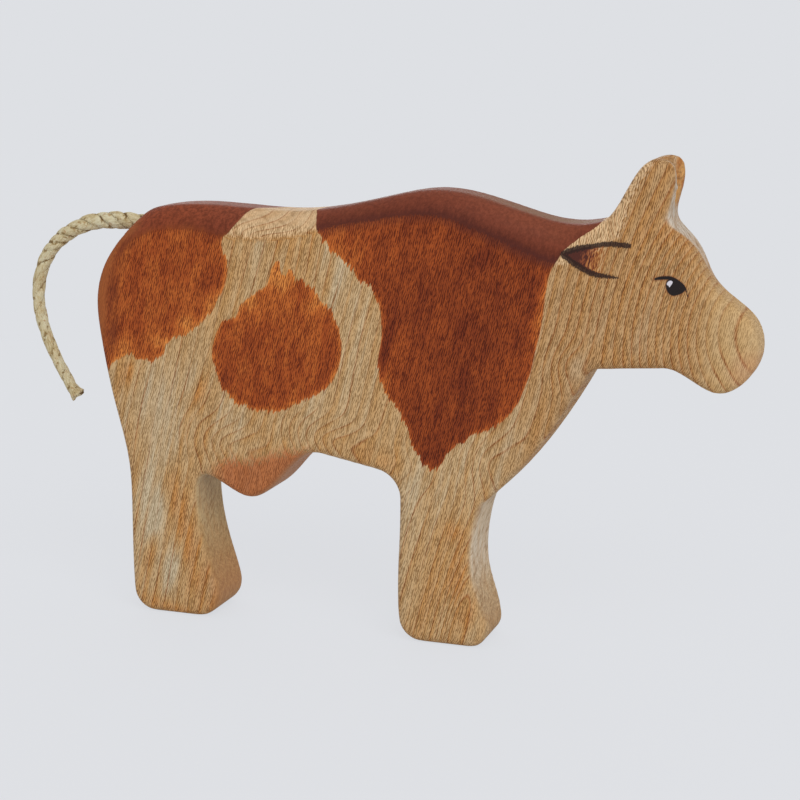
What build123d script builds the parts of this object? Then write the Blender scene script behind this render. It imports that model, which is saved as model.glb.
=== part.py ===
from build123d import *
import os
from math import cos, pi, radians, sin, sqrt, tan

# A toy cow cut from one board, with a short twisted rope for its tail.
# Lengths are in millimetres. The cow looks along +X, its flanks face -Y and +Y, and it stands on z = 0.

# Sizes of the board and of the cow drawn on it
body_length = 165.0
body_height = 119.5
board_thickness = 17.0
muzzle_thickness = 10.5

# Radii of the corners where the curves of the side outline meet
rump_radius = 7.0
heel_radius = 6.0
hind_toe_radius = 6.0
fore_toe_radius = 4.0
groin_radius = 2.5
flank_radius = 6.0
elbow_radius = 7.0
brisket_radius = 3.5
throat_radius = 3.0
jaw_radius = 6.0
poll_radius = 4.0

# Hand finish: the sanded edge all round, and the broad bevel along the back
edge_rounding = 2.0
bevel_height = 6.5
bevel_width = 5.5
bevel_crown = 1.4

# The notch sawn into the front of the horns, which parts their tips
notch_depth = 12.0
notch_width = 7.5
notch_floor_radius = 0.8

# The rope tail, and the blind hole that it is glued into
rope_diameter = 3.6
glue_gap = 0.3
bore_depth = 8.0
bore_rise_angle = 6.0
rope_lead = 3.6

# One overrun for every cut
overrun = 4.0

# The side outline, in shares of the body's length, from its middle, and of its height, from the soles
back_shares = [
    (0.282, 0.878), (0.230, 0.868), (0.172, 0.8835), (0.103, 0.911), (0.036, 0.9235), (-0.030, 0.909),
    (-0.099, 0.8865), (-0.170, 0.8725), (-0.315, 0.878), (-0.418, 0.864),
]
rump_shares = [
    (-0.418, 0.864), (-0.457, 0.805), (-0.484, 0.753), (-0.4995, 0.686), (-0.496, 0.594),
    (-0.476, 0.452), (-0.456, 0.335), (-0.4525, 0.209), (-0.4525, 0.084), (-0.449, 0.0),
]
shank_shares = [(-0.306, 0.0), (-0.305, 0.042), (-0.3215, 0.130), (-0.3365, 0.222), (-0.335, 0.316)]
udder_shares = [
    (-0.335, 0.316), (-0.282, 0.286), (-0.2485, 0.2725), (-0.2235, 0.289), (-0.188, 0.341), (-0.1485, 0.3815),
]
foreleg_back_shares = [(-0.014, 0.3465), (-0.0135, 0.243), (-0.0165, 0.117), (-0.011, 0.0)]
foreleg_front_shares = [(0.118, 0.0), (0.1195, 0.050), (0.1015, 0.142), (0.101, 0.234), (0.112, 0.301)]
chest_shares = [(0.112, 0.301), (0.1645, 0.3735), (0.2195, 0.476), (0.2685, 0.590)]
head_shares = [
    (0.376, 0.5985), (0.410, 0.5745), (0.446, 0.5545), (0.482, 0.582), (0.4995, 0.646), (0.489, 0.692),
    (0.4525, 0.735), (0.4255, 0.7725), (0.4115, 0.8135), (0.392, 0.851), (0.373, 0.880), (0.3795, 0.950),
    (0.372, 0.9945), (0.350, 0.997), (0.3155, 0.948), (0.282, 0.878),
]

# Where the flanks start to draw in towards the muzzle, and how far they have drawn in at the cheek
neck_share = 0.20
cheek_share = 0.36
cheek_narrowing_share = 0.58

# The line of the back's bevel: clear of the cow behind the rump, and clear of it again at the horns
bevel_line_shares = [
    (-0.550, 0.650), (-0.505, 0.765), (-0.455, 0.835), (-0.400, 0.872), (-0.315, 0.881), (-0.170, 0.8755),
    (-0.099, 0.8895), (-0.030, 0.912), (0.036, 0.9255), (0.103, 0.913), (0.172, 0.8865), (0.222, 0.875),
    (0.264, 0.897), (0.300, 0.973), (0.330, 1.040),
]

# The stretch of the body's length that the horn notch takes up, and the place where the rope leaves the rump
horn_span_shares = (0.364, 0.42)
tail_root_share = (-0.447, 0.831)

# The rope's route after its straight lead: how far behind and below the tail's root each point lies
rope_route = [(-15.4, -0.8), (-24.9, -6.6), (-30.0, -16.7), (-28.9, -27.9), (-24.4, -37.8), (-19.2, -46.6)]
arc_share = 0.45


def place(share):
    """Returns the point of the side view that stands for shares of the cow's length and height."""
    return Vector(share[0] * body_length, share[1] * body_height)


def curve(shares):
    """Draws a smooth curve through the places of the given shares."""
    return Spline(*[place(share) for share in shares])


def line(start_share, end_share):
    """Draws a straight line between the places of two shares."""
    return Line(place(start_share), place(end_share))


def side_outline():
    """Draws the cow from the side and rounds the corners where its curves meet."""
    outline = make_face([
        curve(back_shares),
        curve(rump_shares),
        line(rump_shares[-1], shank_shares[0]),
        curve(shank_shares),
        curve(udder_shares),
        line(udder_shares[-1], foreleg_back_shares[0]),
        curve(foreleg_back_shares),
        line(foreleg_back_shares[-1], foreleg_front_shares[0]),
        curve(foreleg_front_shares),
        curve(chest_shares),
        line(chest_shares[-1], head_shares[0]),
        curve(head_shares),
    ])
    corner_radii = [
        (back_shares[-1], rump_radius),
        (rump_shares[-1], heel_radius),
        (shank_shares[0], hind_toe_radius),
        (udder_shares[0], groin_radius),
        (udder_shares[-1], flank_radius),
        (foreleg_back_shares[0], elbow_radius),
        (foreleg_back_shares[-1], heel_radius),
        (foreleg_front_shares[0], fore_toe_radius),
        (chest_shares[0], brisket_radius),
        (chest_shares[-1], throat_radius),
        (head_shares[0], jaw_radius),
        (back_shares[0], poll_radius),
    ]
    for share, radius in corner_radii:
        corner = outline.vertices().sort_by_distance(place(share))[0]
        outline = fillet(corner, radius).faces()[0]
    return outline


def plan_block():
    """Makes the board as seen from above: full thickness at the body, drawn in towards the muzzle."""
    board_half = board_thickness / 2
    muzzle_half = muzzle_thickness / 2
    cheek_half = board_half - (board_half - muzzle_half) * cheek_narrowing_share
    tail_x = -body_length / 2 - overrun
    neck_x = neck_share * body_length
    cheek_x = cheek_share * body_length
    nose_x = body_length / 2
    side_places = [(neck_x, -board_half), (cheek_x, -cheek_half), (nose_x, -muzzle_half)]
    muzzle_slope = (nose_x - cheek_x, cheek_half - muzzle_half)
    near_side = Spline(*side_places, tangents=[(1, 0), muzzle_slope])
    far_side = near_side.mirror(Plane.XZ)
    front = Polyline(
        (nose_x, -muzzle_half),
        (nose_x + overrun, -muzzle_half),
        (nose_x + overrun, muzzle_half),
        (nose_x, muzzle_half),
    )
    rear = Polyline(
        (neck_x, board_half),
        (tail_x, board_half),
        (tail_x, -board_half),
        (neck_x, -board_half),
    )
    plan = make_face([*near_side.edges(), *front.edges(), *far_side.edges(), *rear.edges()])
    return Pos(0, 0, -overrun) * extrude(plan, body_height + 2 * overrun)


def flank_edges(solid):
    """Lists the edges that run round the two flanks, leaving out those that cross the middle plane."""
    return [edge for edge in solid.edges() if edge.bounding_box().min.Y * edge.bounding_box().max.Y > 0]


def break_edges(solid):
    """Breaks the edges round the flanks in three flats that touch a round of the sanded radius."""
    eighth_turn = pi / 4
    first_cut = edge_rounding * (2 - sqrt(2))
    second_cut = edge_rounding * (tan(eighth_turn / 2) - tan(eighth_turn / 4))
    one_flat = chamfer(flank_edges(solid), first_cut)
    return chamfer(flank_edges(one_flat), second_cut)


def bevel_cutter():
    """Makes the shaving that bevels the back's far corner: a crowned facet, swept along its line."""
    bevel_line = Spline(*[(place(share).X, 0, place(share).Y) for share in bevel_line_shares])
    across = Plane(origin=bevel_line @ 0, x_dir=(0, 1, 0), z_dir=bevel_line % 0)
    corner = Vector(board_thickness / 2, 0)
    on_back = corner - Vector(bevel_width, 0)
    on_flank = corner - Vector(0, bevel_height)
    crown = Vector(bevel_height, bevel_width).normalized() * bevel_crown
    facet = ThreePointArc(on_back, (on_back + on_flank) / 2 + crown, on_flank)
    past_flank = on_flank + Vector(overrun, 0)
    past_back = on_back + Vector(0, overrun)
    past_corner = corner + Vector(overrun, overrun)
    clear = Polyline(on_flank, past_flank, past_corner, past_back, on_back)
    section = make_face([*facet.edges(), *clear.edges()])
    return sweep(across * section, path=bevel_line)


def horn_notch():
    """Makes the wedge that is sawn out of the front of the horns, along the cow's length."""
    floor_z = body_height - notch_depth
    top_z = body_height + overrun
    half_width = notch_width / 2 * (top_z - floor_z) / notch_depth
    wedge = make_face(Polyline((0, floor_z), (half_width, top_z), (-half_width, top_z), (0, floor_z)).edges())
    wedge = fillet(wedge.vertices().sort_by(Axis.Y)[0], notch_floor_radius)
    start_x, end_x = [share * body_length for share in horn_span_shares]
    across = Plane(origin=(start_x, 0, 0), x_dir=(0, 1, 0), z_dir=(1, 0, 0))
    return extrude(across * wedge, end_x - start_x)


def tail_bore():
    """Makes the drill's round path into the rump, from the blind hole's flat floor to clear air."""
    mouth = Plane(origin=tail_root, z_dir=tail_direction)
    return extrude(mouth.offset(-bore_depth) * Circle(rope_diameter / 2 + glue_gap), bore_depth + overrun)


def wooden_body():
    """Cuts the cow out of its board and finishes its edges, back, horns and rump."""
    board_half = board_thickness / 2
    upright = Pos(0, board_half, 0) * (Rot(90, 0, 0) * extrude(side_outline(), board_thickness))
    cow = upright & plan_block()
    cow = break_edges(cow)
    far_bevel = bevel_cutter()
    return cow - far_bevel - far_bevel.mirror(Plane.XZ) - horn_notch() - tail_bore()


def rope_points():
    """Lists the rope's route: straight from the hole's floor out of the rump, then over and down."""
    points = [tail_root - tail_direction * bore_depth, tail_root + tail_direction * rope_lead]
    return points + [tail_root + Vector(back, 0, down) for back, down in rope_route]


def corner_arcs(points):
    """Gives each corner of a route the largest arc that its two runs allow with room to spare."""
    radii = []
    for before, corner, after in zip(points, points[1:], points[2:]):
        turn = radians((corner - before).get_angle(after - corner))
        shorter = min((corner - before).length, (after - corner).length)
        radii.append(arc_share * shorter / tan(turn / 2))
    return radii


def tail_rope():
    """Makes the rope as a plain tube of straight runs joined by tangent arcs."""
    points = rope_points()
    radii = corner_arcs(points)
    print("rope arc radii", [round(radius, 1) for radius in radii])
    path = FilletPolyline(*points, radius=radii)
    start = Plane(origin=points[0], z_dir=tail_direction)
    rope = sweep(start * Circle(rope_diameter / 2), path=path)
    straight_volume = pi * (rope_diameter / 2) ** 2 * path.length
    print("rope length", round(path.length, 1))
    print("rope volume", round(rope.volume, 1), "against", round(straight_volume, 1), "when straight")
    return rope


tail_root = Vector(place(tail_root_share).X, 0, place(tail_root_share).Y)
tail_direction = Vector(-cos(radians(bore_rise_angle)), 0, sin(radians(bore_rise_angle)))

parts = {"wooden_body": wooden_body(), "tail_rope": tail_rope()}
middle = parts["wooden_body"].bounding_box().center()
os.makedirs("parts", exist_ok=True)
for name, piece in parts.items():
    export_step(Pos(-middle.X, -middle.Y, 0) * piece, f"parts/{name}.step")
print("rope route", [(round(point.X - middle.X, 1), round(point.Z, 1)) for point in rope_points()])
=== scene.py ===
from math import atan2, cos, pi, radians, sin

import bmesh
import bpy
import numpy
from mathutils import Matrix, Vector


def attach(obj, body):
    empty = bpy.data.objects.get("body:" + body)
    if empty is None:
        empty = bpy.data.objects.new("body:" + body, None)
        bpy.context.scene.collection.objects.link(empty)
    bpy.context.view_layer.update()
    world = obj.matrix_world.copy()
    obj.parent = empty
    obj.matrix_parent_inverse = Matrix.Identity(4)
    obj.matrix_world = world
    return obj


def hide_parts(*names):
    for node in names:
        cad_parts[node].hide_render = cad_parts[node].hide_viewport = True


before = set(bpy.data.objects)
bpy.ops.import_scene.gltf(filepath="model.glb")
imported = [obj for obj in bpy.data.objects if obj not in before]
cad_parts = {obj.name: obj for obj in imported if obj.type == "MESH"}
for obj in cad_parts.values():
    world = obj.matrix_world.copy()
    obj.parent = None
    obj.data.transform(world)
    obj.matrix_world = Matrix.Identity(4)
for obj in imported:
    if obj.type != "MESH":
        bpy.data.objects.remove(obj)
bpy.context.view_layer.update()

# A toy cow cut from one board, with a short twisted rope for its tail.
# Places in the side view are (x, z) in millimetres from the middle of the cow on the floor.
mm = 0.001

# Camera
# The photograph is taken with a long lens from beside the cow's right flank, turned a little towards its
# head, and from somewhat above its back.
camera_azimuth = radians(19.2)
camera_elevation = radians(12.2)
camera_distance = 450.5 * mm
lens_length = 83.25
film_width = 36
camera_target = Vector((-4.44, 0, 58.51)) * mm

camera_data = bpy.data.cameras.new("camera")
camera_data.lens = lens_length
camera_data.sensor_width = film_width
camera = bpy.data.objects.new("camera", camera_data)
towards_camera = Vector((
    cos(camera_elevation) * sin(camera_azimuth),
    -cos(camera_elevation) * cos(camera_azimuth),
    sin(camera_elevation),
))
camera.location = camera_target + towards_camera * camera_distance
camera.rotation_euler = (-towards_camera).to_track_quat("-Z", "Y").to_euler()
bpy.context.scene.collection.objects.link(camera)
bpy.context.scene.camera = camera

# Tail rope
# The tail is a soft natural-fibre rope of three strands, laid right-handed and pressed to one round.
# It is glued into a hole drilled in the rump, arches over and down behind it, and ends in a slanted cut.
# Shade in the creases between the strands is painted into the fibres' colour.
rope_route = [
    (-65.7, 98.5), (-77.2, 99.7), (-89.1, 98.5), (-98.6, 92.7),
    (-103.7, 82.6), (-102.6, 71.4), (-98.1, 61.5), (-92.9, 52.7),
]
rope_in_wood = 8.3
rope_radius_along = [
    (0, 1.75), (rope_in_wood, 1.9), (11, 2.14), (22, 2.04), (34, 1.76), (50, 1.55), (70, 1.38), (77.4, 1.5),
]
rope_tightness_along = [(0, 1.0), (rope_in_wood, 1.35), (26, 1.2), (44, 0.75), (66, 0.7)]
rope_end_tightness = 1.0
rope_lift_along = [(0, 0), (rope_in_wood, 0.25), (14, 0.3), (30, 0.2), (48, 0)]
strand_count = 3
lay_length = 11.5
swelling_limits = (0.25, 2)
ridge_height = 0.03
crease_depth = 0.17
crease_sharpness = 0.55
end_slant = 0.5
end_slant_turn = pi / 2 - 0.2
end_strand_step = 0.25
end_trim = 0.7
end_flare = 0.9
end_flare_shares = (0.45, 0.55)
end_flare_turn = 0.5 - pi / 2
end_flare_length = 4.5
# How much the cut end's crease values are raised, which darkens it with the painted crease shade and specks.
cut_crease_gain = 1.2
cut_crease_rise = 0.2
cap_steps = [(0.8, 0.12), (0.5, 0.0), (0.2, -0.3)]
cap_dimple = 0.5
rings_per_mm = 7
places_around = 108

# Waves on the rope: size, waves round it or step from strand to strand, length along it, and start.
lay_waves = [(0.35, 0, 5.3, 0), (0.25, 0, 2.9, 1)]
swelling_waves = [(0.35, 2.1, 1.9, 0), (0.25, 1.3, 4.1, 0)]
fibre_waves = [(0.012, 7, 0.9, 0), (0.010, 13, -0.7, 0)]
lump_waves = [(0.030, 2, 1.3, 0), (0.025, -1, 2.3, 0)]


def linear(red, green, blue):
    """Turns a colour as it looks on a screen, 0 to 255, into the numbers that a shader takes."""
    colour = []
    for share in (red / 255, green / 255, blue / 255):
        colour.append(share / 12.92 if share <= 0.04045 else ((share + 0.055) / 1.055) ** 2.4)
    return [*colour, 1.0]


straw_tones = [
    (0.30, linear(148, 126, 84)), (0.44, linear(184, 168, 128)), (0.56, linear(202, 190, 156)),
    (0.70, linear(222, 215, 190)),
]
green_straw = linear(186, 182, 150)
husk_brown = linear(150, 100, 50)
# Dark specks in the creases: partly husk, partly painted shade in the pits between the fibres.
pit_husk_and_shade_brown = linear(122, 92, 44)
# Painted shade in the creases between the strands.
rope_crease_shade = linear(104, 76, 38)


class Weave:
    """Adds nodes to one material in short calls; a value is an output socket or a plain number."""

    def __init__(self, name):
        self.material = bpy.data.materials.new(name)
        self.material.use_nodes = True
        self.nodes = self.material.node_tree.nodes
        self.links = self.material.node_tree.links
        self.shader = self.nodes["Principled BSDF"]
        self.place = self.nodes.new("ShaderNodeTexCoord")

    def wire(self, value, socket):
        """Joins an output to a socket, or sets the socket to a plain value."""
        if isinstance(value, bpy.types.NodeSocket):
            self.links.new(value, socket)
        else:
            socket.default_value = value

    def math(self, operation, first, second=0.0, third=0.0):
        """Works out one number from up to three."""
        node = self.nodes.new("ShaderNodeMath")
        node.operation = operation
        for value, socket in zip((first, second, third), node.inputs):
            self.wire(value, socket)
        return node.outputs["Value"]

    def joined(self, operation, values):
        """Works out one number from a row of values, one after the other."""
        result = values[0]
        for value in values[1:]:
            result = self.math(operation, result, value)
        return result

    def times(self, *values):
        """Multiplies values together."""
        return self.joined("MULTIPLY", values)

    def plus(self, *values):
        """Adds values up."""
        return self.joined("ADD", values)

    def most(self, *values):
        """Takes the largest value."""
        return self.joined("MAXIMUM", values)

    def least(self, *values):
        """Takes the smallest value."""
        return self.joined("MINIMUM", values)

    def less(self, first, second):
        """Takes the second value from the first."""
        return self.math("SUBTRACT", first, second)

    def fade(self, value, start, end, low=0.0, high=1.0, way="SMOOTHSTEP"):
        """Goes softly from low to high while a value goes from start to end, and stops there."""
        node = self.nodes.new("ShaderNodeMapRange")
        node.interpolation_type = way
        for number, socket in zip((value, start, end, low, high), node.inputs):
            self.wire(number, socket)
        return node.outputs["Result"]

    def ramp(self, value, start, end, low=0.0, high=1.0):
        """Goes evenly from low to high while a value goes from start to end, and stops there."""
        return self.fade(value, start, end, low, high, "LINEAR")

    def mix(self, share, first, second, blend="MIX"):
        """Lays a share of the second colour over the first."""
        node = self.nodes.new("ShaderNodeMix")
        node.data_type = "RGBA"
        node.blend_type = blend
        self.wire(share, node.inputs["Factor"])
        self.wire(first, node.inputs[6])
        self.wire(second, node.inputs[7])
        return node.outputs[2]

    def colours(self, value, stops):
        """Reads a colour from a row of stops."""
        node = self.nodes.new("ShaderNodeValToRGB")
        elements = node.color_ramp.elements
        while len(elements) < len(stops):
            elements.new(0.5)
        for element, (position, colour) in zip(elements, stops):
            element.position = position
            element.color = colour
        self.wire(value, node.inputs["Fac"])
        return node.outputs["Color"]

    def scaled(self, vector, scale, turn=(0, 0, 0)):
        """Stretches a place, then turns it."""
        node = self.nodes.new("ShaderNodeMapping")
        self.wire(vector, node.inputs["Vector"])
        node.inputs["Scale"].default_value = scale
        node.inputs["Rotation"].default_value = turn
        return node.outputs["Vector"]

    def noise(self, vector, detail=2.0, roughness=0.5):
        """A cloudy value about 0.5."""
        node = self.nodes.new("ShaderNodeTexNoise")
        self.wire(vector, node.inputs["Vector"])
        node.inputs["Scale"].default_value = 1.0
        node.inputs["Detail"].default_value = detail
        node.inputs["Roughness"].default_value = roughness
        return node.outputs["Fac"]

    def stored(self, name):
        """Reads a value that the mesh keeps at each vertex."""
        node = self.nodes.new("ShaderNodeAttribute")
        node.attribute_name = name
        return node.outputs["Fac"]

    def parts_of(self, vector):
        """Splits a vector into its three numbers."""
        node = self.nodes.new("ShaderNodeSeparateXYZ")
        self.wire(vector, node.inputs["Vector"])
        return node.outputs["X"], node.outputs["Y"], node.outputs["Z"]

    def curve(self, value, points):
        """Reads a smooth curve through points whose two numbers go from 0 to 1."""
        node = self.nodes.new("ShaderNodeFloatCurve")
        line = node.mapping.curves[0]
        while len(line.points) < len(points):
            line.points.new(0.5, 0.5)
        for point, place in zip(line.points, points):
            point.location = place
        node.mapping.update()
        self.wire(value, node.inputs["Value"])
        return node.outputs["Value"]

    def relief(self, height, strength, distance):
        """Makes the surface rise and fall with a value."""
        bump = self.nodes.new("ShaderNodeBump")
        bump.inputs["Strength"].default_value = strength
        bump.inputs["Distance"].default_value = distance
        self.wire(height, bump.inputs["Height"])
        self.wire(bump.outputs["Normal"], self.shader.inputs["Normal"])


def keep_values(mesh, name, values):
    """Stores one number at each vertex, for a material to read."""
    attribute = mesh.attributes.new(name, "FLOAT", "POINT")
    attribute.data.foreach_set("value", numpy.asarray(values, dtype=numpy.float32))


def smooth_line(places):
    """Reads a smooth line in the middle plane from a curve whose control points are the given places."""
    curve = bpy.data.curves.new("smooth_line", "CURVE")
    curve.dimensions = "3D"
    curve.resolution_u = 24
    spline = curve.splines.new("NURBS")
    spline.points.add(len(places) - 1)
    for point, (x, z) in zip(spline.points, places):
        point.co = (x * mm, 0, z * mm, 1)
    spline.order_u = 3
    spline.use_endpoint_u = True
    holder = bpy.data.objects.new("smooth_line", curve)
    line = bpy.data.meshes.new_from_object(holder)
    points = [vertex.co.copy() for vertex in line.vertices]
    bpy.data.objects.remove(holder)
    return points


def waves(along, around, rows):
    """Adds up waves that run along the rope, round it, or both."""
    total = 0
    for height, turns, length, start in rows:
        total = total + height * numpy.sin(turns * around + along / length + start)
    return total


def rope_skin(points):
    """Wraps one skin round three strands that are pressed together, with a crease between each two."""
    line = numpy.array(points) / mm
    steps = numpy.linalg.norm(numpy.diff(line, axis=0), axis=1)
    distances = numpy.concatenate(([0], numpy.cumsum(steps)))
    total = distances[-1]
    along = numpy.linspace(0, total, int(total * rings_per_mm))
    centres = numpy.stack([numpy.interp(along, distances, line[:, axis]) for axis in range(3)], axis=1)
    tangents = numpy.gradient(centres, axis=0)
    tangents /= numpy.linalg.norm(tangents, axis=1)[:, None]
    across = numpy.array((0, 1, 0))
    upwards = numpy.cross(across, tangents)
    turn = numpy.arange(places_around) * 2 * pi / places_around
    s, angle = along[:, None], turn[None, :]

    lay_angle = angle + 2 * pi * s / lay_length + waves(s, angle, lay_waves)
    strand = numpy.floor((lay_angle % (2 * pi)) / (2 * pi / strand_count))
    ridge = numpy.abs(numpy.sin(strand_count / 2 * lay_angle))
    swelling = numpy.clip(1 + waves(s, strand, swelling_waves), *swelling_limits)
    tightness = numpy.interp(s, *zip(*rope_tightness_along, (total, rope_end_tightness)))
    crease = (1 - ridge ** crease_sharpness) * swelling * tightness
    radius = numpy.interp(s, *zip(*rope_radius_along)) * (1 + ridge_height - crease_depth * crease)
    radius = radius * (1 + waves(s, angle, fibre_waves)) * (1 + waves(s, angle, lump_waves))
    near_end = numpy.clip(1 - (total - s) / end_flare_length, 0, 1) ** 2
    all_round, one_side = end_flare_shares
    radius = radius + end_flare * near_end * (all_round + one_side * numpy.cos(angle - end_flare_turn))
    end_steps = end_strand_step * numpy.sin(strand_count * lay_angle)
    slide = near_end * (end_slant * numpy.cos(angle - end_slant_turn) + end_steps - end_trim)
    lift = numpy.interp(s, *zip(*rope_lift_along))

    outwards = numpy.cos(angle)[..., None] * across + numpy.sin(angle)[..., None] * upwards[:, None, :]
    skin = centres[:, None, :] + outwards * radius[..., None] + tangents[:, None, :] * slide[..., None]
    skin = skin + upwards[:, None, :] * lift[..., None]
    last = skin[-1]
    middle = last.mean(axis=0)
    caps = [middle + (last - middle) * share + tangents[-1] * rise for share, rise in cap_steps]
    rings = [*skin, *caps]
    # The cut end takes crease values above the last ring's, so the painted crease shade and specks darken it
    # too.
    cut_crease = crease[-1:] * cut_crease_gain + cut_crease_rise
    ring_values = {
        "crease": numpy.concatenate([crease, numpy.tile(cut_crease, (len(caps), 1))]),
        "strand": numpy.concatenate([strand, numpy.tile(strand[-1:], (len(caps), 1))]),
        "along": numpy.concatenate([s + 0 * angle, numpy.full((len(caps), places_around), total)]),
        "around": numpy.concatenate([0 * s + angle, numpy.tile(angle, (len(caps), 1))]),
    }
    vertices = [*numpy.concatenate(rings), middle - tangents[-1] * cap_dimple, skin[0].mean(axis=0)]
    faces = []
    for ring in range(len(rings) - 1):
        for place in range(places_around):
            after = (place + 1) % places_around
            low, high = ring * places_around, (ring + 1) * places_around
            faces.append((low + place, low + after, high + after, high + place))
    for place in range(places_around):
        after = (place + 1) % places_around
        end = (len(rings) - 1) * places_around
        faces.append((end + place, end + after, len(vertices) - 2))
        faces.append((after, place, len(vertices) - 1))
    mesh = bpy.data.meshes.new("tail_rope_laid")
    mesh.from_pydata([Vector(vertex) * mm for vertex in vertices], [], faces)
    for name, values in ring_values.items():
        keep_values(mesh, name, numpy.concatenate([values.ravel(), values.ravel()[-2:]]))
    shape = bmesh.new()
    shape.from_mesh(mesh)
    bmesh.ops.recalc_face_normals(shape, faces=shape.faces)
    shape.to_mesh(mesh)
    shape.free()
    mesh.shade_smooth()
    return mesh, total * mm


def rope_material():
    """Gives the fibres a dry, uneven straw colour, dark bits of husk, and painted shade in the creases."""
    weave = Weave("natural_rope_fibre")
    crease, strand = weave.stored("crease"), weave.stored("strand")
    along, around = weave.stored("along"), weave.stored("around")
    fibre_place = weave.nodes.new("ShaderNodeCombineXYZ")
    across = weave.plus(weave.times(weave.math("COSINE", around), 5.0), weave.times(strand, 7.0))
    weave.wire(across, fibre_place.inputs["X"])
    weave.wire(weave.times(weave.math("SINE", around), 5.0), fibre_place.inputs["Y"])
    weave.wire(weave.times(along, 0.9), fibre_place.inputs["Z"])
    fibre = weave.noise(fibre_place.outputs["Vector"], detail=3.0, roughness=0.6)
    husk = weave.noise(weave.scaled(fibre_place.outputs["Vector"], (0.35, 0.35, 1.0)))
    metres = weave.place.outputs["Object"]
    cloud, grit, breaks = [
        weave.noise(weave.scaled(metres, (per_metre, per_metre, per_metre)), detail=detail)
        for per_metre, detail in ((330, 3.0), (1000, 2.0), (560, 1.0))
    ]
    straw = weave.colours(weave.plus(weave.times(fibre, 0.55), weave.times(cloud, 0.45)), straw_tones)
    straw = weave.mix(weave.times(weave.fade(cloud, 0.45, 0.62), 0.35), straw, green_straw)
    straw = weave.mix(weave.times(weave.fade(husk, 0.60, 0.68), 0.5), straw, husk_brown)
    # Dark specks in the creases: partly husk, partly painted shade in the pits between the fibres.
    pits = weave.times(weave.fade(grit, 0.52, 0.62), weave.fade(crease, 0.04, 0.35), 0.8)
    straw = weave.mix(pits, straw, pit_husk_and_shade_brown)
    # Painted shade along the creases, broken into dashes.
    shadow = weave.times(weave.fade(crease, 0.40, 1.0), weave.fade(breaks, 0.46, 0.58, 0.12, 0.95))
    straw = weave.mix(shadow, straw, rope_crease_shade)
    weave.wire(straw, weave.shader.inputs["Base Color"])
    weave.wire(weave.ramp(fibre, 0.3, 0.7, 0.72, 0.95), weave.shader.inputs["Roughness"])
    weave.shader.inputs["Specular IOR Level"].default_value = 0.2
    weave.relief(fibre, 0.6, 0.10 * mm)
    return weave.material


rope_line = smooth_line(rope_route)
rope_shape, rope_length = rope_skin(rope_line)
rope = bpy.data.objects.new("tail_rope_laid", rope_shape)
bpy.context.scene.collection.objects.link(rope)
rope_shape.materials.append(rope_material())
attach(rope, "root")
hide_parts("tail_rope")

# Wooden body
# The cow is sawn from one flat-sawn board of pale beech-like wood whose grain runs up the legs.
# Its edges are sanded soft, its back is shaved to a broad bevel, and a notch parts its horns in front.
# Red-brown stain is brushed along the grain in patches; the ears and eyes are drawn with a fine dark brush.
# Shade along the back's crease, a light rim on the rump and sheen on the ridge and brow are painted in.
grain_lean = radians(15)
remesh_size = 0.6 * mm
merge_distance = 0.001 * mm
sanding_passes = 3
brow_passes = 26
brow_back = 57 * mm
brow_side = -2 * mm
brow_foot = 74 * mm
thickness_slices = 79
crease_step = 6

# Sizes of the marks on the wood, and how far the patches lie elsewhere on the far flank.
leg_height = 40
bevel_width = 8
fleck_spacing = 0.5
ring_spacing = 3.2
feather_slant = radians(-35)
far_drift = 26
far_rump_shift = 9

# Colours as they look on a screen. A row of tones is read by height, warmth or depth, from 0 to 1.
flank_tones = [
    (0.20, linear(182, 164, 135)), (0.42, linear(177, 144, 102)), (0.60, linear(172, 130, 80)),
    (0.85, linear(174, 118, 60)),
]
neck_wood = linear(154, 107, 57)
muzzle_wood = linear(186, 154, 106)
# Painted shade along the back's crease on the bare wood.
crease_gold_shade = linear(170, 118, 58)
pale_ring = linear(200, 180, 146)
dark_ring = linear(138, 80, 36)
hind_leg_tones = [
    (0.10, linear(174, 134, 82)), (0.38, linear(172, 138, 92)), (0.62, linear(182, 156, 114)),
    (0.90, linear(184, 162, 126)),
]
foreleg_tones = [
    (0.10, linear(172, 138, 98)), (0.34, linear(184, 158, 124)), (0.58, linear(204, 190, 168)),
    (0.85, linear(198, 178, 150)),
]
brow_wood = linear(182, 152, 122)
# The top of the brow is whiter: planed wood with painted sheen.
brow_top_wood_and_sheen = linear(190, 178, 162)
bevel_wood = linear(198, 164, 124)
horn_wood = linear(188, 140, 84)
horn_knots = linear(164, 102, 50)
edge_clouds = linear(166, 122, 72)
edge_feathers = linear(142, 106, 66)
stain_tones = [
    (0.12, linear(180, 110, 52)), (0.34, linear(158, 83, 34)), (0.54, linear(134, 61, 23)),
    (0.82, linear(98, 38, 15)),
]
# Stain on the shaved back; its darkest tones, next to the crease, are painted shade.
bevel_stain_and_shade_tones = [
    (0.0, linear(76, 34, 23)), (0.16, linear(88, 39, 25)), (0.45, linear(107, 51, 33)),
    (0.80, linear(116, 59, 39)),
]
rump_bevel_stain = linear(124, 57, 31)
# Painted shade along the crease between the flank and the shaved back.
back_crease_shade = linear(78, 34, 26)
rear_shade = linear(98, 46, 24)
# Painted light on the rounded rear edge of the rump.
rear_rim_light = linear(150, 86, 44)
# Painted sheen along the middle of the back's ridge.
ridge_sheen = linear(118, 80, 44)
udder_wash = linear(156, 90, 50)
udder_edge = linear(168, 120, 86)
muzzle_pink = linear(196, 132, 104)
ear_gold = linear(170, 108, 54)
ear_red = linear(122, 62, 36)
ear_dark = linear(74, 37, 30)
ear_ink = linear(48, 30, 24)
eye_rim = linear(118, 62, 36)
eye_black = linear(34, 27, 26)
eye_white = linear(204, 200, 206)

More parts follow.
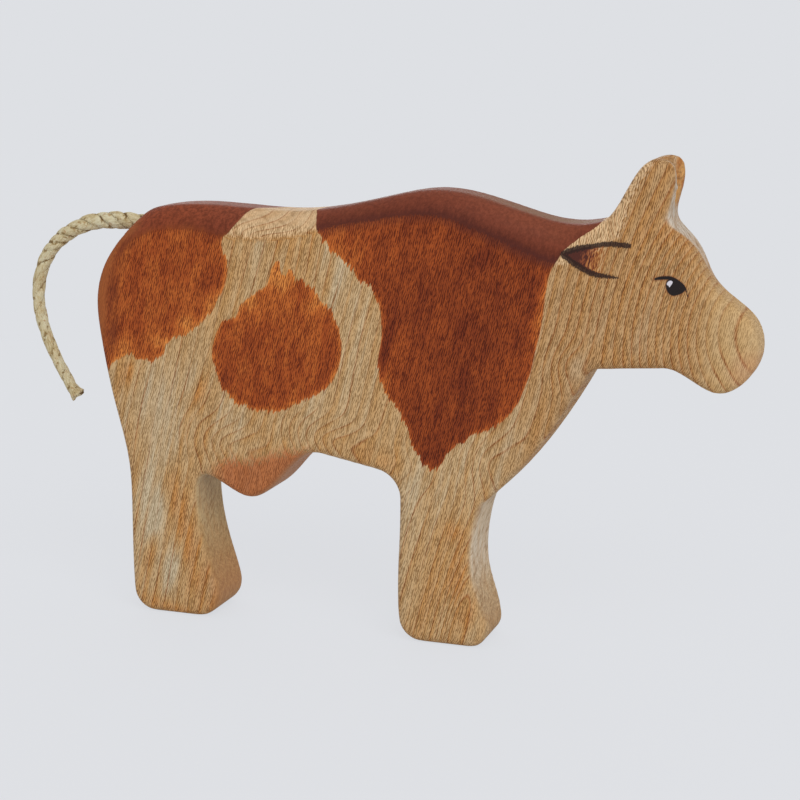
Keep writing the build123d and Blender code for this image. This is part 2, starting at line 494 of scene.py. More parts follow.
# Pairs of tones that darken and lighten the colour below them.
edge_line_tones = [(0.80, 0.78, 0.74, 1), (1.10, 1.10, 1.10, 1)]
wood_fleck_tones = [(0.49, 0.42, 0.31, 1), (1.28, 1.31, 1.31, 1)]
stain_fleck_tones = [(0.50, 0.38, 0.35, 1), (1.46, 1.54, 1.46, 1)]
bevel_cloud_tones = [(0.64, 0.60, 0.56, 1), (1.36, 1.40, 1.42, 1)]
wash_fleck_tones = [(0.66, 0.58, 0.54, 1), (1.25, 1.25, 1.25, 1)]
ear_fleck_tones = [(0.70, 0.64, 0.60, 1), (1.15, 1.15, 1.15, 1)]

# Lines and outlines in the side view, and the centre that each outline is measured from.
crease_line = [
    (-90, 50), (-82.5, 60), (-78.8, 68), (-77.8, 75), (-77.4, 81), (-76.2, 88.5), (-73.8, 94.3),
    (-69.5, 96.9), (-62.9, 98.9), (-56.2, 99.2), (-47.1, 97.6), (-37.1, 97.2), (-26.7, 98.7),
    (-19, 100.9), (-8.9, 102.8), (1, 104.5), (7, 104.7), (13.2, 103.1), (22.4, 99.6), (29.3, 96.8),
    (34.5, 94.8), (40, 94.8), (46.1, 98.9), (50.2, 101.4), (51.3, 105), (53.1, 111.1), (56.5, 117),
    (60, 124),
]
patch_reach = 60
rump_centre = (-70, 96)
rump_patch = [
    (-90, 60), (-79.5, 62.5), (-76, 65.8), (-72.8, 66.7), (-68.3, 65.6), (-63.6, 67.7), (-62.5, 71),
    (-57.4, 73.2), (-51, 78.5), (-48.8, 81.6), (-45.7, 90.4), (-47.2, 96.4), (-45.5, 98.6), (-42, 103),
    (-38, 112), (-70, 118), (-100, 112), (-100, 80),
]
belly_centre = (-34, 72)
belly_patch = [
    (-27.6, 88.2), (-29.4, 90.4), (-30.8, 88.9), (-32.6, 92.2), (-34.2, 90.6), (-35.4, 87.0), (-38.4, 84.6),
    (-42.4, 81.8), (-44, 78.4), (-47.5, 76.7), (-50.4, 70.1), (-49, 62.4), (-46.9, 58.9), (-41.1, 55.6),
    (-36.3, 55), (-25.4, 58.8), (-18.3, 64.4), (-16.5, 70), (-18.4, 80.3), (-21.5, 83.7), (-26.3, 87.9),
]
shoulder_centre = (12, 88)
shoulder_patch = [
    (-25.5, 112), (-23.4, 103.4), (-22.4, 99.6), (-15.3, 92.7), (-7.7, 85.5), (-6.3, 80), (-6.8, 65.5),
    (-1.7, 57.3), (0.5, 54), (1, 50.2), (3.3, 47.3), (7.1, 43.8), (9.4, 47.2), (16.5, 52.8), (25.8, 58.8),
    (30.2, 67.9), (32.7, 78.5), (34.2, 89.5), (37, 96.5), (42, 101.5), (47, 107), (30, 118), (0, 120),
]
eye_reach = 6
pupil_centre = (63.4, 90.7)
pupil = [
    (61.5, 92.0), (62.5, 92.7), (63.6, 92.2), (64.5, 91.7), (65.2, 90.9), (65.6, 90.1), (65.4, 89.7),
    (64.6, 89.1), (63.7, 88.75), (62.8, 88.6), (61.9, 89.1), (61.4, 89.9), (61.2, 91.0),
]
glint_centre = (62.15, 91.35)
glint = [
    (61.7, 91.75), (62.3, 92.0), (62.65, 91.8), (62.55, 91.3), (62.25, 90.85), (62.0, 90.55),
    (61.85, 90.85), (61.45, 91.1),
]
stroke_end = 0.2
ear_upper_line = [
    (37.2, 97.1), (38.6, 97.7), (41.3, 98.6), (44.1, 99.2), (47.8, 99.8), (50.0, 99.8), (52.0, 99.6),
    (53.0, 99.5),
]
ear_upper_width = [0.5, 1.3, 1.4, 1.15, 1.1, 1.3, 1.25, 0.8]
ear_lower_line = [
    (37.2, 97.1), (38.4, 96.5), (40.0, 95.4), (41.8, 94.3), (43.8, 93.3), (45.8, 92.7), (47.7, 92.5),
    (50.5, 92.2),
]
ear_lower_width = [0.5, 1.5, 1.7, 1.55, 1.4, 1.3, 0.95, 0.3]
ear_height = 96
lid_line = [
    (58.8, 92.25), (59.9, 92.5), (61.0, 92.6), (62.1, 92.6), (63.3, 92.2), (64.5, 91.5), (65.6, 90.3),
    (66.05, 88.7),
]
lid_width = [0.5, 0.75, 0.8, 0.8, 0.8, 0.7, 0.75, 0.4]
udder_top = [(-56, 37.5), (-52, 40), (-46, 42.6), (-41, 42.8), (-36, 44.6), (-30, 46), (-24, 46.2)]
muzzle_tip = (81, 71.5)

# Soft ovals on the flanks: middle, half width across the grain, half length along it, and strength.
# The strength warms the bare wood, deepens the stain, or says how many year rings bulge there.
warm_places = [
    (-63, 35, 3.2, 5, 1.0), (-61, 29, 3.0, 4.5, 1.0), (-59, 23, 2.8, 4.5, 1.1), (-57.5, 17, 2.6, 4.5, 1.2),
    (-55.8, 10, 2.6, 4.5, 1.2), (-53.8, 3, 3, 4, 1.1), (-67, 26, 2.0, 8, -1.1), (-63.8, 12, 3.6, 7, -1.1),
    (-69, 34, 1.8, 8, -0.8), (-69, 15.5, 1.6, 5, 1.1), (-63, 1.5, 9, 1.8, 0.9), (-66, 54, 7, 12, -0.7),
    (-73.4, 62.5, 1.3, 4, 1.6), (-56, 62, 3, 5, -0.5), (-54.0, 59, 1.3, 4.5, 1.7), (-52, 46, 3, 6, 0.3),
    (-44, 52, 5, 6, -0.4), (-31.5, 46, 6, 3, 0.4), (-32, 98, 2.0, 3, 0.5), (-17, 95, 4, 8, -0.4),
    (-12, 47, 12, 3, 0.55), (12.4, 29, 2.4, 2.6, 0.9), (13.5, 23, 1.6, 5, 0.5), (13.2, 16, 2.4, 5, 0.9),
    (15.5, 7.5, 2.0, 3, 0.8), (10, 24, 3, 12, 0.2), (1, 36, 2.0, 14, -0.6), (22, 48, 4, 8, -0.4),
    (27, 46, 4, 2.5, 0.5), (33, 56, 2, 6, 0.35), (41, 71, 3, 3, -0.5), (51, 73.5, 8, 2, 0.6),
    (51, 88, 1.5, 12, 0.5), (47, 84, 1.5, 10, -0.4), (57, 80, 2.4, 9, -0.6), (62, 101.5, 6, 3, 1.0),
    (69.5, 94, 2, 6, 0.4), (57, 108, 3, 8, 0.35), (77, 79, 4, 6, -0.4), (72, 87, 4, 3, 0.3),
]
stain_places = [
    (-51, 87, 2.0, 5, 0.35), (-51, 81, 2.4, 3.5, -0.8), (-57, 76, 3, 2.4, -0.7), (-64, 70.5, 4, 2, -0.5),
    (-74, 68.5, 4, 3, -0.55), (-62, 84, 7, 9, -0.1), (-32, 88.5, 3.5, 3.5, -1.0), (-40, 82, 4, 3, -0.6),
    (-23, 82, 3, 5, -0.55), (-47, 62, 2.5, 5, 0.35), (-33, 61, 6, 4, 0.25), (-20, 69, 1.8, 7, 0.25),
    (-5, 73, 1.6, 5, 0.6), (-5.5, 63, 1.5, 7, -0.5), (20, 82, 10, 16, 0.25), (14, 62, 8, 9, 0.2),
    (33, 84, 1.3, 12, -0.6), (-16, 97, 6, 5, -0.2), (4, 96, 8, 5, -0.15), (6, 47, 3, 4, 0.15),
]
ring_places = [
    (86, 80, 27, 25, 6.0), (41, 71, 5, 5, 1.6), (23, 46, 7, 7, 2.6), (13.1, 4, 4.5, 22, 4.5),
    (-12, 47, 14, 4.5, 1.8), (-40, 44, 13, 5, 2.0),
]
bevel_ring_places = [
    (54, 107, 10, 10, 9), (-32, 96, 20, 4, 4.2), (52.2, 111.4, 2.0, 2.0, 3), (55.3, 116.2, 2.2, 2.2, 3),
]

# Where the planed edges lie. The brow's starts at a reach from the near flank that changes with the height.
# A pair says between which two places something comes in, from none to full.
brow_heights = [80, 86, 92, 96, 101, 104, 106, 109]
brow_reaches = [9.6, 9.0, 7.4, 5.4, 2.8, 0.4, 0, 1.1]
brow_begins = (50, 56)
near_rim = (0.2, 1.5)
far_rim = 1.5
far_brow_rim = 0.4
chest_begins = (19, 23)
chest_top = 84
chest_reach = 30
horn_root = (106, 108)
horn_back = (61.2, 60)
notch_root = (107, 109)
notch_side = (-0.6, 0.2)
notch_begins = (60.5, 61.1)


def sanded_body():
    """Copies the sawn body, gives it an even skin of small faces, and sands it smooth, the brow most."""
    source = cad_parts["wooden_body"]
    shape = bmesh.new()
    shape.from_mesh(source.data)
    bmesh.ops.remove_doubles(shape, verts=shape.verts, dist=merge_distance)
    copy = bpy.data.meshes.new("sawn_body")
    shape.to_mesh(copy)
    shape.free()
    holder = bpy.data.objects.new("sawn_body", copy)
    bpy.context.scene.collection.objects.link(holder)
    remesh = holder.modifiers.new("even_skin", "REMESH")
    remesh.mode = "VOXEL"
    remesh.voxel_size = remesh_size
    bpy.context.view_layer.update()
    skin = bpy.data.meshes.new_from_object(holder.evaluated_get(bpy.context.evaluated_depsgraph_get()))
    bpy.data.objects.remove(holder)
    shape = bmesh.new()
    shape.from_mesh(skin)
    brow = [
        vertex for vertex in shape.verts
        if vertex.co.x > brow_back and vertex.co.y < brow_side and vertex.co.z > brow_foot
    ]
    every_way = {"use_axis_x": True, "use_axis_y": True, "use_axis_z": True}
    for vertices, passes in ((shape.verts, sanding_passes), (brow, brow_passes)):
        for _ in range(passes):
            bmesh.ops.smooth_vert(shape, verts=vertices, factor=0.5, **every_way)
    sanded = bpy.data.meshes.new("sanded_body")
    shape.to_mesh(sanded)
    shape.free()
    sanded.shade_smooth()
    return sanded


def vertex_places(mesh):
    """Lists the places of a mesh's vertices in millimetres."""
    places = numpy.empty(len(mesh.vertices) * 3, dtype=numpy.float32)
    mesh.vertices.foreach_get("co", places)
    return places.reshape(-1, 3) / mm


def soft_step(values, start, end):
    """Goes softly from 0 to 1 while the values go from start to end."""
    share = numpy.clip((values - start) / (end - start), 0, 1)
    return share * share * (3 - 2 * share)


def half_thickness(places):
    """Finds half the board's thickness at each vertex, which changes only along the cow's length."""
    x, y = places[:, 0], numpy.abs(places[:, 1])
    edges = numpy.linspace(x.min(), x.max(), thickness_slices + 1)
    slices = numpy.digitize(x, edges[1:-1])
    widest = [y[slices == index].max() for index in range(len(edges) - 1)]
    return numpy.interp(x, (edges[:-1] + edges[1:]) / 2, widest)


def distance_outside(places, line):
    """Says how far each vertex lies outside a smooth line over the cow's back, or less than 0 inside it."""
    nearest = numpy.full(len(places), numpy.inf)
    outside = numpy.zeros(len(places))
    flat = places[:, [0, 2]]
    corners = [numpy.array((point.x, point.z)) / mm for point in smooth_line(line)[::crease_step]]
    for start, end in zip(corners, corners[1:]):
        run = end - start
        share = numpy.clip((flat - start) @ run / (run @ run), 0, 1)
        away = flat - start - share[:, None] * run
        distance = numpy.linalg.norm(away, axis=1)
        side = numpy.sign(run[0] * away[:, 1] - run[1] * away[:, 0])
        closer = distance < nearest
        nearest[closer] = distance[closer]
        outside[closer] = (side * distance)[closer]
    return outside


def planed_edges(places, half):
    """Finds the pale planed edges without flecks; the chest, the jaw and the back of the horns have none."""
    x, y, z = places.T
    brow = numpy.interp(z, brow_heights, brow_reaches) * soft_step(x, *brow_begins)
    chest = numpy.where(z < chest_top, chest_reach * soft_step(x, *chest_begins), 0)
    reach = numpy.maximum(brow, chest)
    off_near_flank = soft_step(half + y, reach + near_rim[0], reach + near_rim[1])
    off_far_flank = soft_step(half - y, 0, numpy.where(x > brow_begins[1], far_brow_rim, far_rim))
    back_of_horns = soft_step(z, *horn_root) * soft_step(x, *horn_back)
    return off_near_flank * off_far_flank * (1 - back_of_horns)


def far_horn(places):
    """Finds the far horn's side of the notch and its front, whose wood is warmer."""
    x, y, z = places.T
    return soft_step(z, *notch_root) * soft_step(y, *notch_side) * soft_step(x, *notch_begins)


def soft_ovals(places, ovals, levelled=0):
    """Adds up soft ovals that lie along the grain; in each, a rise across the grain can be levelled."""
    total = numpy.zeros(len(places))
    for x, z, half_width, half_length, strength in ovals:
        right, up = places[:, 0] - x, places[:, 2] - z
        across = right * cos(grain_lean) - up * sin(grain_lean)
        along = right * sin(grain_lean) + up * cos(grain_lean)
        inside = numpy.exp(-(across / half_width) ** 2 - (along / half_length) ** 2)
        total += (strength - across * levelled) * inside
    return total


class PaintedWood(Weave):
    """The body's material: bare wood, brushed stain, and the drawn face."""

    def __init__(self):
        super().__init__("stained_painted_wood")
        millimetres = self.scaled(self.place.outputs["Object"], (1 / mm, 1 / mm, 1 / mm))
        self.x, self.y, self.z = self.parts_of(millimetres)
        self.board = self.scaled(millimetres, (1, 1, 1), (0, -grain_lean, 0))
        self.across, depth, _ = self.parts_of(self.board)
        self.far_side = self.fade(self.y, -5.0, 6.0)
        self.strokes, flecks = self.flecks(self.plus(self.across, depth))
        self.ragged = self.less(self.strokes, 0.5)
        self.fleck_share = self.ramp(flecks, 0.25, 0.66)
        self.planed = self.stored("planed_edge")
        self.outside = self.plus(self.stored("outside_crease"), self.times(self.ragged, 0.9))
        rump_end = self.fade(self.x, -77.5, -70.0, 0.3, 1.0)
        self.bevel = self.times(self.fade(self.outside, -0.2, 0.4), rump_end)
        self.smooth = self.most(self.planed, self.bevel)
        self.flank = self.less(1.0, self.smooth)

    def grain(self, scale, detail=2.0, roughness=0.5):
        """A cloudy value about 0.5 that lies along the board's grain."""
        return self.noise(self.scaled(self.board, scale), detail, roughness)

    def flecks(self, rolled):
        """Short strokes along the grain, and the same strokes set in close even rows."""
        drift = self.grain((0.9, 0.5, 0.4), detail=1.0, roughness=0.6)
        turns = self.plus(self.times(rolled, 2 * pi / fleck_spacing), self.times(drift, 12.0))
        fine = self.ramp(self.grain((4.6, 1.8, 1.1), detail=0.0), 0.36, 0.64)
        broad = self.ramp(self.grain((2.3, 1.0, 0.36), detail=0.0), 0.38, 0.62)
        strokes = self.plus(self.times(fine, 0.65), self.times(broad, 0.35))
        rows = self.times(self.math("SINE", turns), 0.22)
        return strokes, self.plus(self.times(fine, 0.36), self.times(broad, 0.2), rows, 0.22)

    def combed(self, colour, share, tones, contrast):
        """Darkens and lightens a colour by a pair of tones, as far as the contrast says."""
        dark, light = tones
        return self.mix(contrast, colour, self.mix(share, dark, light), "MULTIPLY")

    def planed_edge(self):
        """The edges' wood, with fine lines for flecks; each leg, the brow and the back has its tone; painted
        sheen whitens the brow.
        """
        height = self.times(self.z, 1 / leg_height)
        other_edges = self.most(self.fade(self.x, -25.0, -15.0), self.fade(self.x, -60.0, -68.0))
        hind_leg, foreleg = self.colours(height, hind_leg_tones), self.colours(height, foreleg_tones)
        colour = self.mix(other_edges, hind_leg, foreleg)
        brow = self.times(self.fade(self.z, 78.0, 88.0), self.fade(self.x, 45.0, 52.0))
        # The brow whitens towards its top with painted sheen.
        brow_tone = self.mix(self.fade(self.z, 90.0, 104.0), brow_wood, brow_top_wood_and_sheen)
        colour = self.mix(brow, colour, brow_tone)
        colour = self.mix(self.bevel, colour, bevel_wood)
        knots = self.fade(self.grain((0.6, 0.4, 0.35)), 0.45, 0.62)
        colour = self.mix(self.stored("far_horn"), colour, self.mix(knots, horn_wood, horn_knots))
        clouds = self.fade(self.grain((0.35, 0.5, 0.12), detail=3.0), 0.46, 0.66)
        colour = self.mix(self.times(clouds, 0.35), colour, edge_clouds)
        slanted = self.scaled(self.scaled(self.board, (1, 1, 1), (feather_slant, 0, 0)), (0.3, 0.35, 2.0))
        feathers = self.fade(self.noise(slanted, detail=1.0), 0.50, 0.66)
        colour = self.mix(self.times(feathers, self.planed, 0.6), colour, edge_feathers)
        lines = self.ramp(self.grain((2.4, 2.2, 0.10)), 0.35, 0.65)
        return self.combed(colour, lines, edge_line_tones, 0.8)

    def year_rings(self, colour):
        """Draws thin brown lines where the saw cut the year rings, curved where they bulge."""
        count = self.stored("rings")
        wander = self.grain((0.07, 0.07, 0.016), detail=1.0)
        wander = self.times(wander, self.fade(count, 0.3, 3.0, 2.4, 1.0))
        rings = self.plus(count, self.times(self.across, 1 / ring_spacing), wander)
        place = self.math("FRACT", rings)
        off_line = self.less(0.5, self.math("ABSOLUTE", self.less(place, 0.5)))
        bulge = self.fade(count, 0.4, 1.0)
        line = self.fade(off_line, self.plus(0.09, self.times(bulge, 0.06)), 0.0)
        faint = self.fade(self.grain((0.25, 0.2, 0.06), detail=1.0), 0.40, 0.60, 0.3, 0.9)
        strength = self.most(faint, self.times(bulge, self.fade(self.x, 66.0, 72.0, 0.6, 0.35)))
        shown = self.most(self.flank, self.bevel)
        share = self.times(line, strength, shown, self.ramp(self.fleck_share, 0.1, 1.0, 1.0, 0.6))
        colour = self.mix(self.times(self.fade(place, 0.0, 0.9), shown, 0.22), colour, pale_ring)
        return self.mix(share, colour, dark_ring)

    def bare_wood(self):
        """Pale flat-sawn wood: warm and pale zones along the grain, year rings, short dark flecks, and
        painted shade along the back's crease.
        """
        zones = self.times(self.grain((0.11, 0.05, 0.018)), 0.45)
        streaks = self.times(self.grain((0.50, 0.12, 0.03), detail=3.0, roughness=0.6), 0.85)
        warmth = self.plus(zones, streaks, -0.15, self.times(self.stored("warmth"), 0.30))
        flank = self.colours(warmth, flank_tones)
        flank = self.mix(self.fade(self.x, 16.0, 40.0, 0.0, 0.65), flank, neck_wood)
        flank = self.mix(self.times(self.fade(self.x, 64.0, 76.0), 0.65), flank, muzzle_wood)
        colour = self.mix(self.smooth, flank, self.planed_edge())
        # A darker golden line along the back's crease on the bare wood is painted shade.
        along_crease = self.times(self.fade(self.outside, -1.0, -0.1), self.fade(self.outside, 1.2, 0.3))
        golden = self.times(along_crease, self.fade(self.x, 0.0, -20.0), 0.5)
        colour = self.year_rings(self.mix(golden, colour, crease_gold_shade))
        worn = self.times(self.planed, self.fade(self.z, 10.0, 24.0, 0.4, 0.75))
        contrast = self.times(self.less(1.0, worn), self.ramp(warmth, 0.25, 0.7, 0.72, 0.95))
        neck, muzzle = self.fade(self.x, 26.0, 44.0, 0.95, 1.05), self.fade(self.x, 62.0, 74.0, 1.0, 0.68)
        return self.combed(colour, self.fleck_share, wood_fleck_tones, self.times(contrast, neck, muzzle))

    def distance(self, right, up):
        """How far a place lies from another, in the side view."""
        return self.math("SQRT", self.plus(self.times(right, right), self.times(up, up)))

    def star(self, x, z, edge, centre, reach):
        """How far inside an outline a place lies, measured away from the outline's centre."""
        places = []
        for edge_x, edge_z in edge:
            right, up = edge_x - centre[0], edge_z - centre[1]
            places.append((atan2(up, right) / (2 * pi) + 0.5, Vector((right, up)).length / reach))
        places.sort()
        first, last = places[0], places[-1]
        seam = last[1] + (first[1] - last[1]) * (1 - last[0]) / (first[0] + 1 - last[0])
        right, up = self.less(x, centre[0]), self.less(z, centre[1])
        turn = self.math("MULTIPLY_ADD", self.math("ARCTAN2", up, right), 1 / (2 * pi), 0.5)
        radius = self.times(self.curve(turn, [(0.0, seam), *places, (1.0, seam)]), reach)
        return self.less(radius, self.distance(right, up))

    def height_along(self, x, line):
        """The height of a drawn line over a place, and how far along the line the place lies."""
        start, end = line[0][0], line[-1][0]
        low = min(place[1] for place in line)
        high = max(place[1] for place in line)
        along = self.ramp(x, start, end)
        shares = [((place[0] - start) / (end - start), (place[1] - low) / (high - low)) for place in line]
        return self.math("MULTIPLY_ADD", self.curve(along, shares), high - low, low), along

    def stroke(self, line, widths):
        """How far inside a brush line a place lies, measured up or down."""
        height, along = self.height_along(self.x, line)
        start, end = line[0][0], line[-1][0]
        shares = [((place[0] - start) / (end - start), width / 2) for place, width in zip(line, widths)]
        inside = self.less(self.curve(along, shares), self.math("ABSOLUTE", self.less(self.z, height)))
        return self.least(inside, self.less(self.x, start - stroke_end), self.less(end + stroke_end, self.x))

    def stained_bevel(self):
        """The stain on the shaved back: darkened with painted shade at the crease, paler towards the middle
        and over the rump.
        """
        band = self.colours(self.times(self.outside, 1 / bevel_width), bevel_stain_and_shade_tones)
        band = self.mix(self.fade(self.x, -30.0, -62.0, 0.0, 0.7), band, rump_bevel_stain)
        cloud = self.fade(self.grain((1.2, 1.2, 0.7), detail=4.0, roughness=0.8), 0.36, 0.64)
        return self.combed(band, cloud, bevel_cloud_tones, self.fade(self.x, -15.0, -45.0, 0.5, 0.9))

    def patches(self):
        """How far inside the nearest patch a place lies; combed rims, and other shapes on the far flank."""
        comb = self.times(self.less(self.grain((2.4, 0.3, 0.12)), 0.5), 3.6)
        sweep = self.times(self.less(self.grain((0.6, 0.1, 0.06)), 0.5), 2.8)
        push = self.times(self.plus(comb, sweep), self.fade(self.flank, 0, 1, 0.12, 1.0))
        drift = self.times(self.less(self.grain((0.05, 0.02, 0.05)), 0.5), self.far_side, far_drift)
        x = self.plus(self.x, self.times(push, sin(grain_lean)), drift)
        z = self.plus(self.z, self.times(push, cos(grain_lean)))
        rump_x = self.plus(x, self.times(self.far_side, -far_rump_shift))
        return self.most(
            self.star(rump_x, z, rump_patch, rump_centre, patch_reach),
            self.star(x, z, belly_patch, belly_centre, patch_reach),
            self.star(x, z, shoulder_patch, shoulder_centre, patch_reach),
        )

    def brushed_stain(self, wood):
        """Lays the stain over the wood: thin golden rims, deep middles, a smooth band on the bevel, and
        painted light and shade.
        """
        inside = self.patches()
        clouds = self.grain((0.24, 0.08, 0.12), detail=3.0, roughness=0.6)
        drags = self.grain((0.9, 0.1, 0.09))
        depth = self.plus(
            self.times(clouds, 0.62), self.times(drags, 0.28), 0.05, self.times(self.stored("stain"), 0.42),
            self.fade(inside, 0.0, 1.6, -0.20, 0.0), self.fade(self.x, -22.0, 6.0, 0.0, 0.15),
        )
        brushed = self.fade(self.flank, 0, 1, 0.10, 1.0)
        stain = self.combed(self.colours(depth, stain_tones), self.fleck_share, stain_fleck_tones, brushed)
        soft_rim = self.fade(self.outside, -1.6, 2.2)
        soft_bevel = self.mix(self.fade(self.x, -48.0, -30.0), soft_rim, self.bevel)
        stain = self.mix(self.times(soft_bevel, self.bevel, 0.94), stain, self.stained_bevel())
        # Painted shade along the back's crease, stronger over the back and the withers.
        crease = self.times(self.fade(self.outside, -2.4, -0.2), self.fade(self.outside, 2.2, 0.6))
        back = self.fade(self.x, -66.0, -30.0, 0.05, 0.4)
        withers = self.fade(self.x, 5.0, 34.0, 0.0, 0.3)
        stain = self.mix(self.times(crease, self.plus(back, withers)), stain, back_crease_shade)
        rear = self.fade(self.x, -68.0, -73.0)
        rear_crease = self.times(self.fade(self.outside, -3.0, -0.4), self.fade(self.outside, 2.0, 0.2))
        shade = self.times(rear, rear_crease, self.fade(clouds, 0.3, 0.6, 0.1, 0.6))
        stain = self.mix(shade, stain, rear_shade)
        # Painted light: a lighter rim along the rump's rounded rear edge.
        lit_rear_rim = self.times(rear, self.fade(self.outside, 0.6, 2.4), 0.65)
        stain = self.mix(lit_rear_rim, stain, rear_rim_light)
        # Painted sheen: a lighter, greyer tone along the middle of the back's ridge.
        middle = self.fade(self.math("ABSOLUTE", self.y), 5.0, 1.5)
        ridge = self.times(self.bevel, middle, self.fade(self.x, 4.0, 30.0, 0.1, 0.75))
        stain = self.mix(ridge, stain, ridge_sheen)
        return self.mix(self.fade(inside, -0.12, 0.28), wood, stain)

    def tinted_skin(self, colour):
        """Brushes a red-brown wash on the udder and leaves a breath of pink on the muzzle."""
        top = self.height_along(self.x, udder_top)[0]
        below = self.plus(self.less(top, self.z), self.times(self.ragged, 2.4))
        span = self.times(self.fade(self.x, -55.5, -46.0), self.fade(self.x, -22.5, -25.5))
        share = self.times(self.fade(below, -1.0, 2.6), span, 0.88)
        wash = self.combed(udder_wash, self.fleck_share, wash_fleck_tones, self.flank)
        wash = self.mix(self.times(self.smooth, 0.7), wash, udder_edge)
        colour = self.mix(share, colour, wash)
        away = self.distance(self.less(self.x, muzzle_tip[0]), self.less(self.z, muzzle_tip[1]))
        return self.mix(self.times(self.fade(away, 7.0, 2.0), 0.2), colour, muzzle_pink)

    def drawn_ear(self, colour, on_flank):
        """Draws the ear as two brush lines round a fold that is gold at its front and dark at its root."""
        under = self.less(self.height_along(self.x, ear_upper_line)[0], self.z)
        over = self.less(self.z, self.height_along(self.x, ear_lower_line)[0])
        tip = ear_upper_line[0][0]
        fold = self.times(self.fade(self.least(under, over), -0.1, 0.3), self.fade(self.x, tip, tip + 0.5))
        lean = self.times(self.less(ear_height, self.z), 0.25)
        slant = self.plus(self.x, lean, self.times(self.ragged, 3.0))
        gold = self.times(fold, self.fade(slant, tip + 10.6, tip + 7.8), 0.8)
        red = self.times(fold, self.fade(slant, tip + 8.8, tip + 6.6), 0.9)
        dark = self.times(fold, self.fade(slant, tip + 7.2, tip + 5.0), 0.95)
        for share, paint in ((gold, ear_gold), (red, ear_red)):
            flecked = self.combed(paint, self.fleck_share, ear_fleck_tones, 1.0)
            colour = self.mix(self.times(share, on_flank), colour, flecked)
        colour = self.mix(self.times(dark, on_flank), colour, ear_dark)
        upper = self.stroke(ear_upper_line, ear_upper_width)
        lower = self.stroke(ear_lower_line, ear_lower_width)
        drawn = self.fade(self.plus(self.most(upper, lower), self.times(self.ragged, 0.4)), -0.14, 0.14)
        drawn = self.times(drawn, self.ramp(self.fleck_share, 0.3, 1.0, 0.98, 0.92), on_flank)
        return self.mix(drawn, colour, ear_ink)

    def drawn_eye(self, colour, on_flank):
        """Draws the eye with its lid in black, a brown rim round them, and a glint."""
        ball = self.star(self.x, self.z, pupil, pupil_centre, eye_reach)
        eye = self.most(ball, self.stroke(lid_line, lid_width))
        colour = self.mix(self.times(self.fade(eye, -0.5, 0.0), 0.45, on_flank), colour, eye_rim)
        colour = self.mix(self.times(self.fade(eye, -0.12, 0.12), on_flank), colour, eye_black)
        white = self.fade(self.star(self.x, self.z, glint, glint_centre, eye_reach), -0.10, 0.08)
        return self.mix(self.times(white, on_flank), colour, eye_white)

    def finished(self):
        """Joins the layers to the shader with a dull sheen and the relief of the raised grain."""
        colour = self.tinted_skin(self.brushed_stain(self.bare_wood()))
        on_flank = self.fade(self.stored("flank_depth"), 3.4, 2.6)
        colour = self.drawn_eye(self.drawn_ear(colour, on_flank), on_flank)
        self.wire(colour, self.shader.inputs["Base Color"])
        roughness = self.less(self.fade(self.flank, 0, 1, 0.62, 0.66), self.times(self.ragged, 0.1))
        self.wire(roughness, self.shader.inputs["Roughness"])
        self.shader.inputs["Specular IOR Level"].default_value = 0.15
        self.relief(self.times(self.fleck_share, self.fade(self.flank, 0, 1, 0.2, 1.0)), 0.4, 0.06 * mm)
        return self.material


body_shape = sanded_body()
body_places = vertex_places(body_shape)
half = half_thickness(body_places)
outside = distance_outside(body_places, crease_line)
rings = soft_ovals(body_places, ring_places, 1 / ring_spacing)
rings += soft_ovals(body_places, bevel_ring_places) * soft_step(outside, -0.4, 0.3)
keep_values(body_shape, "flank_depth", half - numpy.abs(body_places[:, 1]))
keep_values(body_shape, "outside_crease", outside)
keep_values(body_shape, "planed_edge", planed_edges(body_places, half))
keep_values(body_shape, "far_horn", far_horn(body_places))
keep_values(body_shape, "warmth", soft_ovals(body_places, warm_places))
keep_values(body_shape, "stain", soft_ovals(body_places, stain_places))
keep_values(body_shape, "rings", rings)
body = bpy.data.objects.new("sanded_body", body_shape)
bpy.context.scene.collection.objects.link(body)
body_shape.materials.append(PaintedWood().finished())
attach(body, "root")
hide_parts("wooden_body")

# Floor and light
# The cow stands on a pale seamless sheet in even studio light, with only a breath of shadow at its feet.
# The sheet, its shadow and the softboxes are measured in metres.
backdrop = linear(222, 224, 228)
paper_colour = linear(226, 226, 228)
room_colour = linear(245, 246, 250)
room_strength = 0.76
floor_size = 6.0
shadow_share = 0.12
shadow_near = 0.12
shadow_far = 0.45
softbox_width = 0.9
softbox_height = 0.7
softboxes = [("main_softbox", (0.55, -0.75, 0.85), 7.4), ("far_softbox", (-0.5, 0.9, 0.25), 3.7)]

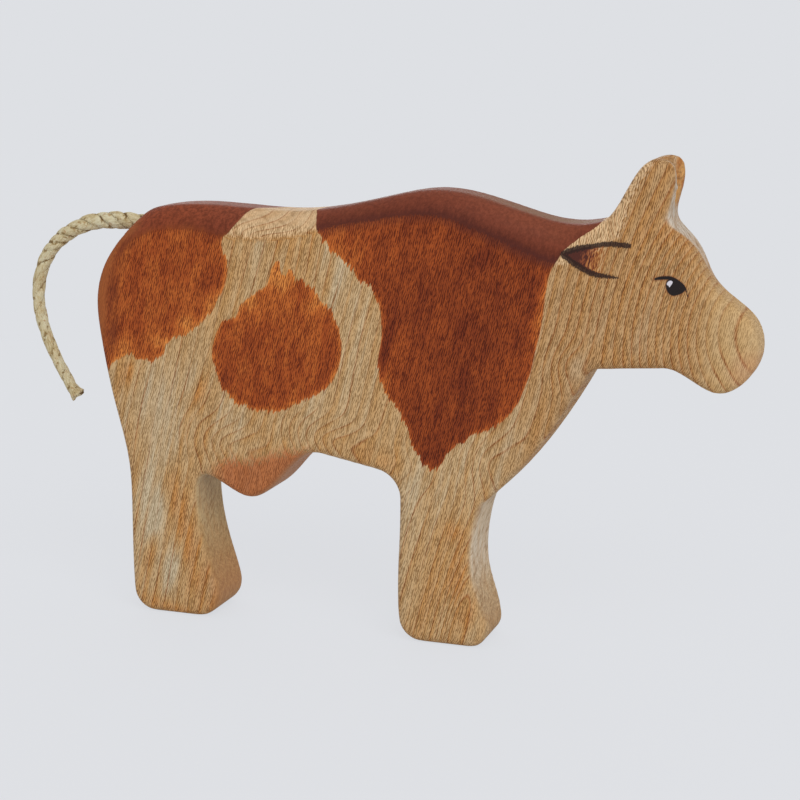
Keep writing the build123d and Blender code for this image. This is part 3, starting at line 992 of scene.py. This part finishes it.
sheet_shape = bmesh.new()
bmesh.ops.create_grid(sheet_shape, x_segments=1, y_segments=1, size=floor_size)
sheet_mesh = bpy.data.meshes.new("floor")
sheet_shape.to_mesh(sheet_mesh)
sheet_shape.free()
floor = bpy.data.objects.new("floor", sheet_mesh)
bpy.context.scene.collection.objects.link(floor)
sheet = Weave("pale_sheet")
sheet.nodes.remove(sheet.shader)
paper = sheet.nodes.new("ShaderNodeBsdfDiffuse")
paper.inputs["Color"].default_value = paper_colour
seen = sheet.nodes.new("ShaderNodeEmission")
seen.inputs["Color"].default_value = backdrop
sheet_path = sheet.nodes.new("ShaderNodeLightPath")
away = sheet.nodes.new("ShaderNodeVectorMath")
away.operation = "LENGTH"
sheet.wire(sheet.place.outputs["Object"], away.inputs[0])
lit_share = sheet.fade(away.outputs["Value"], shadow_near, shadow_far, shadow_share, 0.0)
seen_ray = sheet.most(sheet_path.outputs["Is Camera Ray"], sheet_path.outputs["Is Glossy Ray"])
sheet_mix = sheet.nodes.new("ShaderNodeMixShader")
sheet.wire(sheet.times(seen_ray, sheet.less(1.0, lit_share)), sheet_mix.inputs["Fac"])
sheet.wire(paper.outputs["BSDF"], sheet_mix.inputs[1])
sheet.wire(seen.outputs["Emission"], sheet_mix.inputs[2])
sheet.wire(sheet_mix.outputs["Shader"], sheet.nodes["Material Output"].inputs["Surface"])
sheet_mesh.materials.append(sheet.material)

world = bpy.data.worlds.new("studio")
bpy.context.scene.world = world
world.use_nodes = True
world_nodes, world_links = world.node_tree.nodes, world.node_tree.links
room_light = world_nodes["Background"]
room_light.inputs["Color"].default_value = room_colour
room_light.inputs["Strength"].default_value = room_strength
room_seen = world_nodes.new("ShaderNodeBackground")
room_seen.inputs["Color"].default_value = backdrop
room_path = world_nodes.new("ShaderNodeLightPath")
room_mix = world_nodes.new("ShaderNodeMixShader")
world_links.new(room_path.outputs["Is Camera Ray"], room_mix.inputs["Fac"])
world_links.new(room_light.outputs["Background"], room_mix.inputs[1])
world_links.new(room_seen.outputs["Background"], room_mix.inputs[2])
world_links.new(room_mix.outputs["Shader"], world_nodes["World Output"].inputs["Surface"])

for name, place, power in softboxes:
    softbox_data = bpy.data.lights.new(name, "AREA")
    softbox_data.shape = "RECTANGLE"
    softbox_data.size = softbox_width
    softbox_data.size_y = softbox_height
    softbox_data.energy = power
    softbox = bpy.data.objects.new(name, softbox_data)
    softbox.location = place
    softbox.rotation_euler = (softbox.location - camera_target).to_track_quat("Z", "Y").to_euler()
    bpy.context.scene.collection.objects.link(softbox)

bpy.context.scene.view_settings.view_transform = "Standard"
